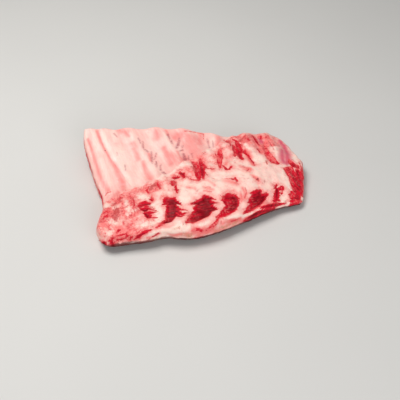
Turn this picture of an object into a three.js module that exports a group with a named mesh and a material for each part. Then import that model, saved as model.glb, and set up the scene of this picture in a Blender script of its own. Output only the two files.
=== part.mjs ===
import * as THREE from "three";

// Raw pork belly ribs: a sheet of ribs and belly meat lying bone side up.
// Millimetres, +Z up. The slab rests on Z = 0 with its long side along X.
// The sawn rib ends face +Y and the thick cartilage side faces -Y.

// Plan outline, walked from left to right and from the near side to the far side.
const NEAR_EDGE = [
  [-87, -77.5], [-74, -78.5], [-56, -74.5], [-36, -71], [-24, -67.5], [-4, -68],
  [21, -62], [53, -45], [82, -28.5], [100, -22.5], [110, -21],
];
const FAR_EDGE = [
  [-115, 71], [-85, 70.5], [-50, 73.5], [-11, 75], [12, 72], [30, 66],
  [47, 66.5], [65, 72], [83, 76], [93, 75],
];
const LEFT_EDGE = [
  [-87, -77.5], [-88, -62], [-85.5, -49], [-83.5, -39], [-84.5, -27], [-87.5, -13],
  [-95, 5], [-105, 33], [-111.5, 51], [-115, 71],
];
const RIGHT_EDGE = [
  [110, -21], [112, -9], [114, 5], [116, 23], [115.5, 37], [109, 49], [102, 64.5], [93, 75],
];
const CURVE_FINENESS = 600;
const EDGE_STEPS = 400;
const PLAN_LENGTH = 215;
const PLAN_DEPTH = 130;
const CORNER_REACH = [14, 6, 5, 8];
const CORNER_PULL = 0.45;

// Heights at evenly spaced sections from the left end to the right end.
const NEAR_RIM_HEIGHT = [17, 19, 21, 20, 14, 9];
const BODY_HEIGHT = [20, 23, 26, 27, 24, 15];
const ARC_HEIGHT = [17, 21, 24, 25, 24, 17];
const FLAP_START_HEIGHT = [12.5, 15, 18.5, 22, 23, 17];
const FAR_RIM_HEIGHT = [30, 29.5, 28, 24, 22, 16];
const FAR_UNDERSIDE_HEIGHT = [18, 17.5, 15.5, 11, 8, 5];
const NEAR_UNDERSIDE_HEIGHT = [4, 4.5, 5, 9, 5, 4.5, 5, 6, 5.5, 4];

// Share of the depth at which the thin rib flap begins, from left to right.
const ARC_SHARE = [0.332, 0.416, 0.486, 0.612, 0.728, 0.92, 1.12, 1.3];
const ARC_STEP_BEFORE = 0.015;
const ARC_STEP_AFTER = 0.03;
const FLAP_SHORTEST = 0.05;
const FLAP_SAG = 0.25;

// The underside lies flat between these shares of the depth.
const FLAT_START = 0.14;
const FLAT_END = 0.6;
const NEAR_LIFT_POWER = 1.3;
const FAR_LIFT_POWER = 1.7;

// Rounding of the side walls.
const NEAR_ROUND = 7;
const SAWN_ROUND = 2.6;
const WALL_SQUARENESS = 2.5;

// The thin sawn edge begins over these shares of the depth and ends over these shares of the length.
const SAWN_START = [0.3, 0.5];
const SAWN_END = [0.75, 0.95];
const FAR_SIDE = [0.9, 1];
const FAR_FACE = 0.98;

// Ribs under the membrane: [foot x, foot y, tip x, tip y, sideways bow].
const RIBS = [
  [-80, -9, -106, 68, 2.5],
  [-52, -12, -91, 70, -2],
  [-27, -6, -67, 70, 1],
  [-3, 7, -36, 72, 1],
  [19, 26, -8, 72, 0],
  [41, 27, 23, 68, 3],
  [68, 25, 57, 70, -2],
  [92, 26, 81, 71, 1],
];
const RIB_RELIEF = 2.6;
const RIB_HALF_WIDTH = 7;
const RIB_RISE = [-0.05, 0.3];
const RIB_END_RELIEF = 0.9;
const RIB_END_HALF_WIDTH = 6;

// Lean muscle windows: [x, y, half length, half width, turn in degrees, depth].
const WINDOWS = [
  [-38, -43, 13, 6.5, -52, 2.2],
  [-16, -44, 16, 9, 97, 3.2],
  [9, -44, 20, 9.5, 47, 3.4],
  [38, -37, 16, 8, 56, 3],
  [62, -28, 18, 7, 58, 2.8],
  [86, -14, 13, 6.5, 60, 1.8],
  [-36, -15, 10, 7, 60, 1.2],
  [-11, -7, 15, 6, 76, 1.8],
  [9, 13, 15, 6, 108, 2],
  [30, 27, 16, 4.5, 90, 2],
  [48, 41, 19, 7, 105, 2],
  [78, 46, 23, 5.5, 117, 1.6],
  [103, 8, 18, 7, 98, 1.5],
];
const WINDOW_BRIM = [0.45, 1.15];

// Fat-covered knuckles and swells: [x, y, half width, height].
const SWELLS = [
  [-58, -14, 9, 1.4],
  [-27, -6, 9, 1.8],
  [-2, 9, 8, 2],
  [18, 29, 8, 2],
  [39, 43, 8, 1.8],
  [62, 46, 9, 1.6],
  [90, 42, 9, 1.2],
  [18, -14, 20, 1.6],
  [62, 3, 20, 1.4],
  [-72, -52, 16, 1.2],
  [-56, -36, 10, 0.9],
];

// Slow waves over the whole top: [radians per millimetre along x, along y, shift, height].
const WAVES = [
  [0.142, 0.086, 0.6, 0.4],
  [-0.124, 0.234, 2.1, 0.34],
  [0.326, 0.242, 4, 0.26],
  [0.282, -0.374, 1.3, 0.22],
  [0.602, 0.306, 5.2, 0.16],
  [-0.466, 0.662, 3.3, 0.14],
];

// Share by which the waves fade on the rib flap, and the share of the depth over which they do.
const FLAP_CALM = 0.7;
const CALM_REACH = 0.1;

// Millimetres from the rim over which windows and swells fade in.
const RIM_FADE = [-4, 12];

// Layers along the near wall: [radians along it, radians up it, height].
const WALL_LAYERS = [
  [34, 6, 0.33],
  [11, 9, 0.66],
];
const NEAR_WALL_REACH = 0.25;

// Mesh fineness. The underside and the lowest ring are three times coarser.
const STEPS_ALONG = 72;
const STEPS_ACROSS = 48;
const COARSE = 3;
const WALL_LEVELS = [0.95, 0.76, 0.36, 0.07];

const MEAT_COLOUR = 0xf3b9ae;
const MEAT_ROUGHNESS = 0.42;

function clamp(value, low, high) {
  return Math.min(high, Math.max(low, value));
}

function mix(from, to, share) {
  return from + (to - from) * share;
}

function smooth(value, low, high) {
  const t = clamp((value - low) / (high - low), 0, 1);
  return t * t * (3 - 2 * t);
}

function bell(distance, width) {
  return Math.exp(-((distance / width) ** 2));
}

// Reads a table of evenly spaced sections as a smooth curve.
function section(share, values) {
  const last = values.length - 1;
  const place = clamp(share, 0, 1) * last;
  const i = Math.min(Math.floor(place), last - 1);
  const t = place - i;
  const b = values[i];
  const c = values[i + 1];
  const a = i > 0 ? values[i - 1] : 2 * b - c;
  const d = i + 2 <= last ? values[i + 2] : 2 * c - b;
  const bend = (2 * a - 5 * b + 4 * c - d) * t ** 2 + (3 * b - a - 3 * c + d) * t ** 3;
  return 0.5 * (2 * b + (c - a) * t + bend);
}

// An outline edge as evenly spaced points of a smooth curve through the given ones.
function edgeCurve(points) {
  const places = points.map(([x, y]) => new THREE.Vector3(x, y, 0));
  const curve = new THREE.CatmullRomCurve3(places, false, "catmullrom");
  curve.arcLengthDivisions = CURVE_FINENESS;
  return curve.getSpacedPoints(EDGE_STEPS);
}

function edgePoint(places, share) {
  const place = clamp(share, 0, 1) * EDGE_STEPS;
  const i = Math.min(Math.floor(place), EDGE_STEPS - 1);
  return new THREE.Vector3().lerpVectors(places[i], places[i + 1], place - i);
}

const nearCurve = edgeCurve(NEAR_EDGE);
const farCurve = edgeCurve(FAR_EDGE);
const leftCurve = edgeCurve(LEFT_EDGE);
const rightCurve = edgeCurve(RIGHT_EDGE);
const CORNERS = [
  [0, 0, NEAR_EDGE[0], [1, 1]],
  [1, 0, RIGHT_EDGE[0], [-1, 1]],
  [0, 1, FAR_EDGE[0], [1, -1]],
  [1, 1, FAR_EDGE[FAR_EDGE.length - 1], [-1, -1]],
];

// Place in plan for a share of the length and a share of the depth.
function plan(along, across) {
  const near = edgePoint(nearCurve, along);
  const far = edgePoint(farCurve, along);
  const left = edgePoint(leftCurve, across);
  const right = edgePoint(rightCurve, across);
  let x = mix(near.x, far.x, across) + mix(left.x, right.x, along);
  let y = mix(near.y, far.y, across) + mix(left.y, right.y, along);
  CORNERS.forEach(([cornerAlong, cornerAcross, place, inward], index) => {
    const weight = (1 - Math.abs(along - cornerAlong)) * (1 - Math.abs(across - cornerAcross));
    const gap = Math.hypot((along - cornerAlong) * PLAN_LENGTH, (across - cornerAcross) * PLAN_DEPTH);
    const reach = CORNER_REACH[index];
    const pull = CORNER_PULL * reach * Math.exp(-gap / reach);
    x += pull * inward[0] - weight * place[0];
    y += pull * inward[1] - weight * place[1];
  });
  return [x, y];
}

// Distance from a rib's middle line, and the share of its length from foot to tip.
function fromRib(x, y, [footX, footY, tipX, tipY, bow]) {
  const dx = tipX - footX;
  const dy = tipY - footY;
  const length = Math.hypot(dx, dy);
  const share = ((x - footX) * dx + (y - footY) * dy) / length ** 2;
  const side = ((x - footX) * dy - (y - footY) * dx) / length;
  const along = clamp(share, 0, 1);
  return [side - bow * 4 * along * (1 - along), share];
}

function ribRelief(x, y) {
  let relief = 0;
  for (const rib of RIBS) {
    const [side, share] = fromRib(x, y, rib);
    relief += RIB_RELIEF * bell(side, RIB_HALF_WIDTH) * smooth(share, ...RIB_RISE);
  }
  return relief;
}

function windowRelief(x, y) {
  let relief = 0;
  for (const [cx, cy, halfLength, halfWidth, turn, depth] of WINDOWS) {
    const angle = THREE.MathUtils.degToRad(turn);
    const u = ((x - cx) * Math.cos(angle) + (y - cy) * Math.sin(angle)) / halfLength;
    const v = ((y - cy) * Math.cos(angle) - (x - cx) * Math.sin(angle)) / halfWidth;
    relief -= depth * (1 - smooth(Math.hypot(u, v), ...WINDOW_BRIM));
  }
  return relief;
}

function swellRelief(x, y) {
  let relief = 0;
  for (const [cx, cy, halfWidth, height] of SWELLS) {
    relief += height * bell(Math.hypot(x - cx, y - cy), halfWidth);
  }
  return relief;
}

function waveRelief(x, y) {
  let relief = 0;
  for (const [alongX, alongY, shift, height] of WAVES) {
    relief += height * Math.sin(x * alongX + y * alongY + shift);
  }
  return relief;
}

// Height of the underside, which lifts off at the near edge and under the rib flap.
function underside(along, across) {
  const nearLift = clamp(1 - across / FLAT_START, 0, 1) ** NEAR_LIFT_POWER;
  const farLift = clamp((across - FLAT_END) / (1 - FLAT_END), 0, 1) ** FAR_LIFT_POWER;
  return section(along, NEAR_UNDERSIDE_HEIGHT) * nearLift + section(along, FAR_UNDERSIDE_HEIGHT) * farLift;
}

// Height of the top before the fine relief: body, arc step and rib flap.
function formHeight(along, across) {
  const arc = section(along, ARC_SHARE);
  const rim = section(along, NEAR_RIM_HEIGHT);
  const body = section(along, BODY_HEIGHT);
  const arcTop = section(along, ARC_HEIGHT);
  const flapStart = section(along, FLAP_START_HEIGHT);
  const far = section(along, FAR_RIM_HEIGHT);
  const thick = mix(rim, body, smooth(across, 0, arc / 2)) + (arcTop - body) * smooth(across, arc / 2, arc);
  const s = clamp((across - arc) / Math.max(1 - arc, FLAP_SHORTEST), 0, 1);
  const flap = mix(flapStart, far, FLAP_SAG * s + (1 - FLAP_SAG) * s * s);
  return mix(thick, flap, smooth(across, arc - ARC_STEP_BEFORE, arc + ARC_STEP_AFTER));
}

function top(along, across) {
  const [x, y] = plan(along, across);
  const depthGap = Math.min(across, 1 - across) * PLAN_DEPTH;
  const lengthGap = Math.min(along, 1 - along) * PLAN_LENGTH;
  const inside = smooth(Math.min(depthGap, lengthGap), ...RIM_FADE);
  const arc = section(along, ARC_SHARE);
  const lumpy = 1 - FLAP_CALM * smooth(across, arc, arc + CALM_REACH);
  const relief = (windowRelief(x, y) + swellRelief(x, y)) * inside;
  return formHeight(along, across) + ribRelief(x, y) + relief + waveRelief(x, y) * lumpy;
}

// How much an edge place belongs to the thin sawn flap.
function sawn(along, across) {
  const rightEnd = smooth(along, ...SAWN_END) * (1 - smooth(across, ...FAR_SIDE));
  return smooth(across, ...SAWN_START) * (1 - rightEnd);
}

// How far the wall stands in from the outline at a level: 0 at the bottom, 1 at the top.
function wallInset(along, across, level) {
  const round = mix(NEAR_ROUND, SAWN_ROUND, sawn(along, across));
  const middle = Math.abs(2 * level - 1);
  const inset = round * (1 - (1 - middle ** WALL_SQUARENESS) ** (1 / WALL_SQUARENESS));
  return inset + wallRelief(along, across, level) * (1 - middle * middle);
}

// Layers stand in from the near wall, and the sawn rib ends stand out of the far face.
function wallRelief(along, across, level) {
  let relief = 0;
  for (const [turnAlong, turnUp, height] of WALL_LAYERS) {
    relief += height * Math.sin(along * turnAlong + level * turnUp);
  }
  relief *= 1 - smooth(across, 0, NEAR_WALL_REACH);
  if (across > FAR_FACE) {
    const x = plan(along, 1)[0];
    for (const [, , tipX] of RIBS.slice(1)) {
      relief -= RIB_END_RELIEF * bell(x - tipX, RIB_END_HALF_WIDTH);
    }
  }
  return relief;
}

function inward(share, gap) {
  return mix(gap, 1 - gap, share);
}

// A point of the skin: level 1 lies on the top, level 0 on the underside.
function skinPoint(along, across, level) {
  const flat = wallInset(along, across, 1);
  const topAlong = inward(along, flat / PLAN_LENGTH);
  const topAcross = inward(across, flat / PLAN_DEPTH);
  const inset = wallInset(along, across, level);
  const wallAlong = inward(along, inset / PLAN_LENGTH);
  const wallAcross = inward(across, inset / PLAN_DEPTH);
  const [x, y] = plan(wallAlong, wallAcross);
  const z = mix(underside(topAlong, topAcross), top(topAlong, topAcross), level);
  return [x, y, z];
}

// Places round the border of a grid, counter-clockwise from the near left corner.
function borderPlaces(stepsAlong, stepsAcross) {
  const alongSteps = Array.from({ length: stepsAlong }, (_, i) => i);
  const acrossSteps = Array.from({ length: stepsAcross }, (_, j) => j);
  return [
    ...alongSteps.map((i) => [i, 0]),
    ...acrossSteps.map((j) => [stepsAlong, j]),
    ...alongSteps.map((i) => [stepsAlong - i, stepsAcross]),
    ...acrossSteps.map((j) => [0, stepsAcross - j]),
  ];
}

// Builds the closed skin: a grid on top, rings down the walls and a coarser grid underneath.
class Skin {
  constructor() {
    this.positions = [];
    this.faces = [];
  }

  get pointCount() {
    return this.positions.length / 3;
  }

  // Adds a grid at level 1 or 0 and returns the point numbers round its border.
  addGrid(stepsAlong, stepsAcross, level) {
    const first = this.pointCount;
    const rowLength = stepsAlong + 1;
    for (let j = 0; j <= stepsAcross; j += 1) {
      for (let i = 0; i <= stepsAlong; i += 1) {
        this.positions.push(...skinPoint(i / stepsAlong, j / stepsAcross, level));
      }
    }
    for (let j = 0; j < stepsAcross; j += 1) {
      for (let i = 0; i < stepsAlong; i += 1) {
        const a = first + j * rowLength + i;
        const b = a + 1;
        const c = b + rowLength;
        const d = c - 1;
        this.faces.push(...(level === 1 ? [a, b, c, a, c, d] : [a, c, b, a, d, c]));
      }
    }
    return borderPlaces(stepsAlong, stepsAcross).map(([i, j]) => first + j * rowLength + i);
  }

  // Adds a ring of wall below a ring of points and returns the new ring.
  addWall(upper, level) {
    const first = this.pointCount;
    for (const [i, j] of borderPlaces(STEPS_ALONG, STEPS_ACROSS)) {
      this.positions.push(...skinPoint(i / STEPS_ALONG, j / STEPS_ACROSS, level));
    }
    const lower = upper.map((point, index) => first + index);
    upper.forEach((point, k) => {
      const next = (k + 1) % upper.length;
      this.faces.push(lower[k], lower[next], upper[next], lower[k], upper[next], point);
    });
    return lower;
  }

  // Joins the lowest wall ring to the border of the underside, which has a third of its points.
  joinFoot(wall, foot) {
    foot.forEach((here, m) => {
      const there = foot[(m + 1) % foot.length];
      const [a, b, c, d] = [0, 1, 2, 3].map((k) => wall[(COARSE * m + k) % wall.length]);
      this.faces.push(here, b, a, here, there, b, there, c, b, there, d, c);
    });
  }
}

function ribSlabGeometry() {
  const skin = new Skin();
  let ring = skin.addGrid(STEPS_ALONG, STEPS_ACROSS, 1);
  for (const level of WALL_LEVELS) {
    ring = skin.addWall(ring, level);
  }
  skin.joinFoot(ring, skin.addGrid(STEPS_ALONG / COARSE, STEPS_ACROSS / COARSE, 0));

  const geometry = new THREE.BufferGeometry();
  geometry.setAttribute("position", new THREE.Float32BufferAttribute(skin.positions, 3));
  geometry.setIndex(skin.faces);
  geometry.computeBoundingBox();
  const { min, max } = geometry.boundingBox;
  geometry.translate(-(min.x + max.x) / 2, -(min.y + max.y) / 2, -min.z);
  geometry.computeVertexNormals();
  return geometry;
}

const meat = new THREE.MeshStandardMaterial({
  name: "raw_meat",
  color: MEAT_COLOUR,
  roughness: MEAT_ROUGHNESS,
  metalness: 0,
});

const ribSlab = new THREE.Mesh(ribSlabGeometry(), meat);
ribSlab.name = "rib_slab";

const bellyRibs = new THREE.Group();
bellyRibs.name = "pork_belly_ribs";
bellyRibs.add(ribSlab);

export default bellyRibs;
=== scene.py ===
"""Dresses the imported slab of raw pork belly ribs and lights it. Laid out as an add-on, run as a script.

The slab's tables are in millimetres, in the drawing frame in which its outline was taken.
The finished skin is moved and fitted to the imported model's box, in metres.
"""
import math

import bmesh
import bpy
import numpy as np
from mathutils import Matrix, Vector


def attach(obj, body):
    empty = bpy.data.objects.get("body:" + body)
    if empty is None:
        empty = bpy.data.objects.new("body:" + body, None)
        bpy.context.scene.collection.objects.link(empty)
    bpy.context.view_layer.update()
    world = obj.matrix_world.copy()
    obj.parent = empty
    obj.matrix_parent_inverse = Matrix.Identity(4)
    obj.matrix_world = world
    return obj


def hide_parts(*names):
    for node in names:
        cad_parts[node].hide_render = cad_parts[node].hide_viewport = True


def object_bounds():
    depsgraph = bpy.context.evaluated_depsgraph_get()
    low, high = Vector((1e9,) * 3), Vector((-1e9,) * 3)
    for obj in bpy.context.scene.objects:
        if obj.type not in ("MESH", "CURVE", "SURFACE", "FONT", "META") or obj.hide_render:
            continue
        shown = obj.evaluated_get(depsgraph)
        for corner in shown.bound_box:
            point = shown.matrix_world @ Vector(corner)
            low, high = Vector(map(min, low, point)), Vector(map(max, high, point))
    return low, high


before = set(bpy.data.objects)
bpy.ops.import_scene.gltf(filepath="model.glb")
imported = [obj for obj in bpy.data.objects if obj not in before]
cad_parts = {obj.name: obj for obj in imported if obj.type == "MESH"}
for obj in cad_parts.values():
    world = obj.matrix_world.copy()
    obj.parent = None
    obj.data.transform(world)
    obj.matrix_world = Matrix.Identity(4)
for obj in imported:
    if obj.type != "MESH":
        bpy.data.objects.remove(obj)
CAD_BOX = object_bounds()

bl_info = {
    "name": "Raw belly ribs",
    "version": (1, 0, 0),
    "blender": (4, 5, 0),
    "location": "View3D > Sidebar > Belly ribs",
    "description": "Skins a packed slab of pork belly ribs with fat, lean, membrane and bone, and lights it",
    "category": "Object",
}

# Plan outline of the slab, walked from left to right and from the near side to the far side
NEAR_EDGE = (
    (-87, -77.5), (-74, -78.5), (-56, -74.5), (-36, -71), (-24, -67.5), (-4, -68),
    (21, -62), (53, -45), (82, -28.5), (100, -22.5), (110, -21),
)
FAR_EDGE = (
    (-115, 71), (-85, 70.5), (-50, 73.5), (-11, 75), (12, 72), (30, 66),
    (47, 66.5), (65, 72), (83, 76), (93, 75),
)
LEFT_EDGE = (
    (-87, -77.5), (-88, -62), (-85.5, -49), (-83.5, -39), (-84.5, -27), (-87.5, -13),
    (-95, 5), (-105, 33), (-111.5, 51), (-115, 71),
)
RIGHT_EDGE = (
    (110, -21), (112, -9), (114, 5), (116, 23), (115.5, 37), (109, 49), (102, 64.5), (93, 75),
)
EDGE_STEPS = 400
SPAN_STEPS = 60
PLAN_LENGTH = 215
PLAN_DEPTH = 130
CORNER_REACH = (14, 6, 5, 8)
CORNER_PULL = 0.45

# Heights at evenly spaced sections from the left end to the right end
NEAR_RIM_HEIGHT = (17, 19, 21, 20, 14, 9)
BODY_HEIGHT = (20, 23, 26, 27, 24, 15)
ARC_HEIGHT = (17, 21, 24, 25, 24, 17)
FLAP_START_HEIGHT = (12.5, 15, 18.5, 22, 23, 17)
FAR_RIM_HEIGHT = (30, 29.5, 28, 24, 22, 16)
FAR_UNDERSIDE_HEIGHT = (18, 17.5, 15.5, 11, 8, 5)
NEAR_UNDERSIDE_HEIGHT = (4, 4.5, 5, 9, 5, 4.5, 5, 6, 5.5, 4)

# Share of the depth at which the thin rib flap begins, from left to right
ARC_SHARE = (0.332, 0.416, 0.486, 0.612, 0.728, 0.92, 1.12, 1.3)
ARC_STEP_BEFORE = 0.012
ARC_STEP_AFTER = 0.02
ARC_RAGGED = 0.012
FLAP_SHORTEST = 0.05
FLAP_SAG = 0.25

# The underside lies flat between these shares of the depth
FLAT_START = 0.14
FLAT_END = 0.6
NEAR_LIFT_POWER = 1.3
FAR_LIFT_POWER = 1.7

# Side walls
NEAR_ROUND = 7
SAWN_ROUND = 2.6
WALL_SQUARENESS = 2.5
SAWN_START = (0.3, 0.5)
SAWN_END = (0.75, 0.95)
FAR_SIDE = (0.9, 1)
FAR_FACE = 0.98
WALL_LAYERS = (
    (34, 6, 0.33),
    (11, 9, 0.66),
)
NEAR_WALL_REACH = 0.25
WALL_LEVELS = (0.985, 0.95, 0.9, 0.83, 0.73, 0.61, 0.49, 0.37, 0.25, 0.14, 0.06, 0.015)

# Ribs under the membrane: foot x, foot y, tip x, tip y, sideways bow
RIBS = (
    (-80, -9, -106, 68, 2.5), (-52, -12, -91, 70, -2), (-27, -6, -67, 70, 1), (-3, 7, -36, 72, 1),
    (19, 26, -8, 72, 0), (41, 27, 23, 68, 3), (68, 25, 57, 70, -2), (92, 26, 81, 71, 1),
)
RIB_RELIEF = 2.6
RIB_HALF_WIDTH = 7
RIB_RISE = (-0.05, 0.3)
RIB_SPACING = 22
RIB_LENGTH = 88
RIB_END_RELIEF = 0.9
RIB_END_HALF_WIDTH = 6
BONE_HALF_WIDTH = 6.5
BONE_HALF_HEIGHT = 3.6
BONE_LEVEL = 0.56

# Swells of fat: x, y, half width, height
SWELLS = (
    (-58, -14, 9, 1.4), (-27, -6, 9, 1.8), (-2, 9, 8, 2), (18, 29, 8, 2), (39, 43, 8, 1.8), (62, 46, 9, 1.6),
    (90, 42, 9, 1.2), (18, -14, 20, 1.6), (62, 3, 20, 1.4), (-72, -52, 16, 1.2), (-56, -36, 10, 0.9),
)
WAVES = (
    (0.142, 0.086, 0.6, 0.4), (-0.124, 0.234, 2.1, 0.34), (0.326, 0.242, 4, 0.26), (0.282, -0.374, 1.3, 0.22),
    (0.602, 0.306, 5.2, 0.16), (-0.466, 0.662, 3.3, 0.14),
)
FLAP_CALM = 0.7
CALM_REACH = 0.1
RIM_FADE = (-4, 12)
RECESS_EDGE = (-0.8, 3.2)

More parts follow.
